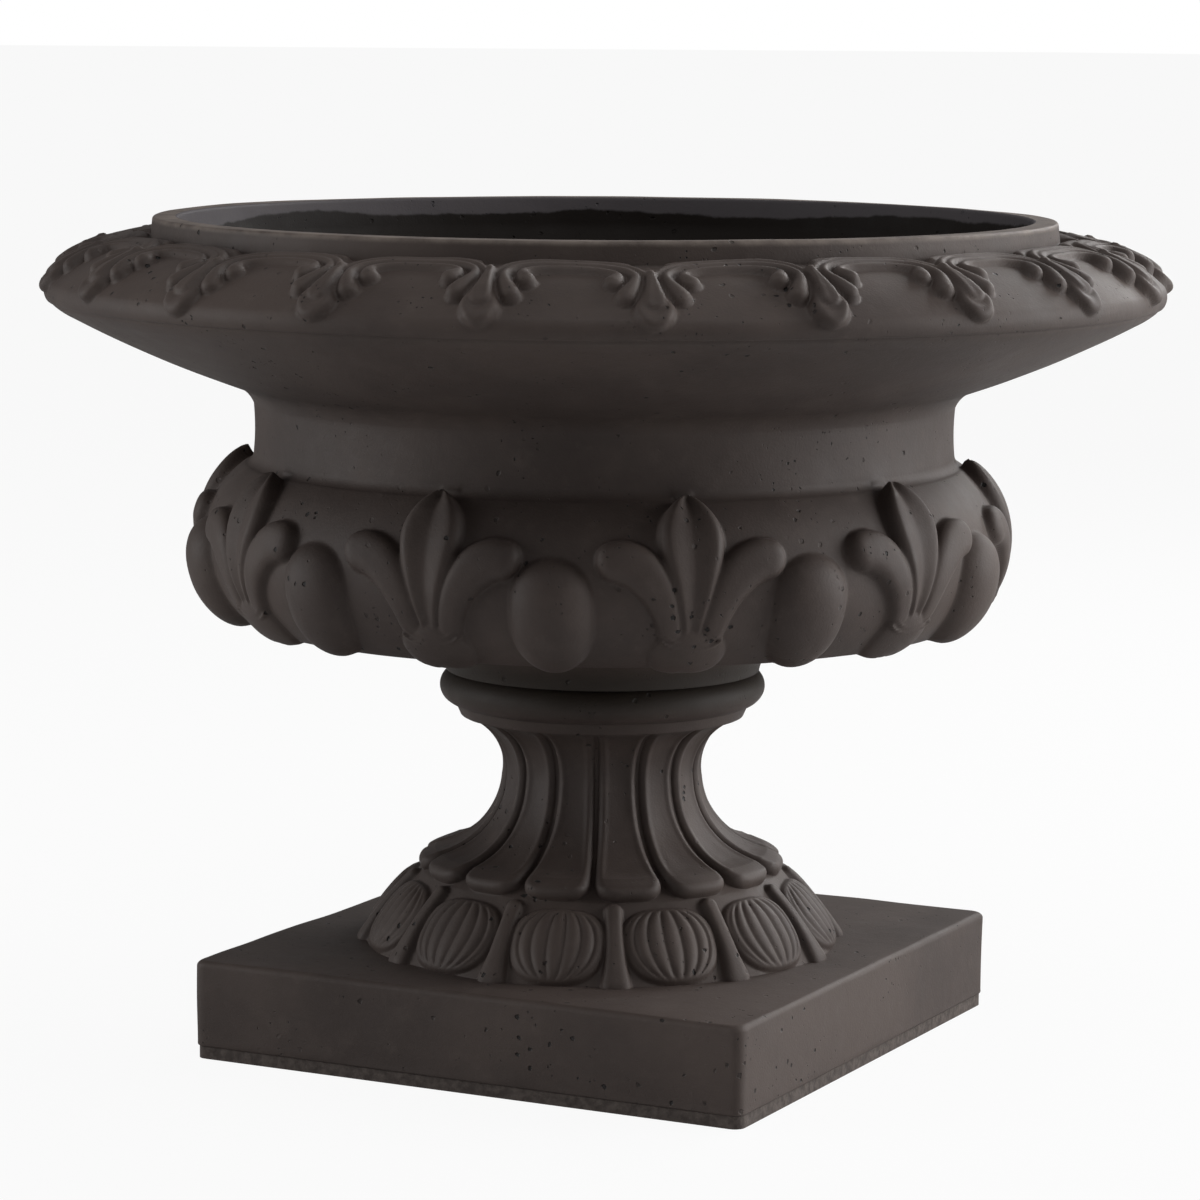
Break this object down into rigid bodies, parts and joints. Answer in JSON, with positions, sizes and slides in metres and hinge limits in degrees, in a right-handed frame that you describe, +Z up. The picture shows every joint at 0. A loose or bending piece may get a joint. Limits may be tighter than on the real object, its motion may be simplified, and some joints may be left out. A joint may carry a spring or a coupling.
{
  "type": "urn planter",
  "caption": "Low footed garden urn in dark cast stone: wide rim with leaf swags, belly of eggs and fleurs-de-lis, short fluted pedestal on a square plinth.",
  "frame": {"origin": "centre of the plinth's bottom, on the ground", "axes": "+Z up along the urn's axis; X and Y along the sides of the square plinth"},
  "size_m": [0.6412, 0.6454, 0.4769],
  "materials": {
    "cast_stone": "matte",
    "screed_stone": "rough",
    "ring_rubber": "matte",
    "drain_plastic": "satin",
    "grate_plastic": "matte",
    "hoop_steel": "plain drawn"
  },
  "bodies": {
    "pedestal": {"pedestal": "cast_stone", "plinth_screed": "screed_stone", "drain_pipe": "drain_plastic", "shaft_rods": "hoop_steel", "plinth_hoop": "hoop_steel", "setting_ring": "ring_rubber"},
    "bowl": {"bowl": "cast_stone", "drain_bush": "drain_plastic", "rim_hoop": "hoop_steel", "belly_hoop": "hoop_steel"},
    "drain_grate": {"drain_grate": "grate_plastic"}
  },
  "joints": [
    {"name": "bowl_lift", "type": "slide", "parent": "pedestal", "child": "bowl", "axis": [0, 0, 1], "range_m": [0, 0.12]},
    {"name": "grate_lift", "type": "slide", "parent": "bowl", "child": "drain_grate", "axis": [0, 0, 1], "range_m": [0, 0.25]}
  ]
}
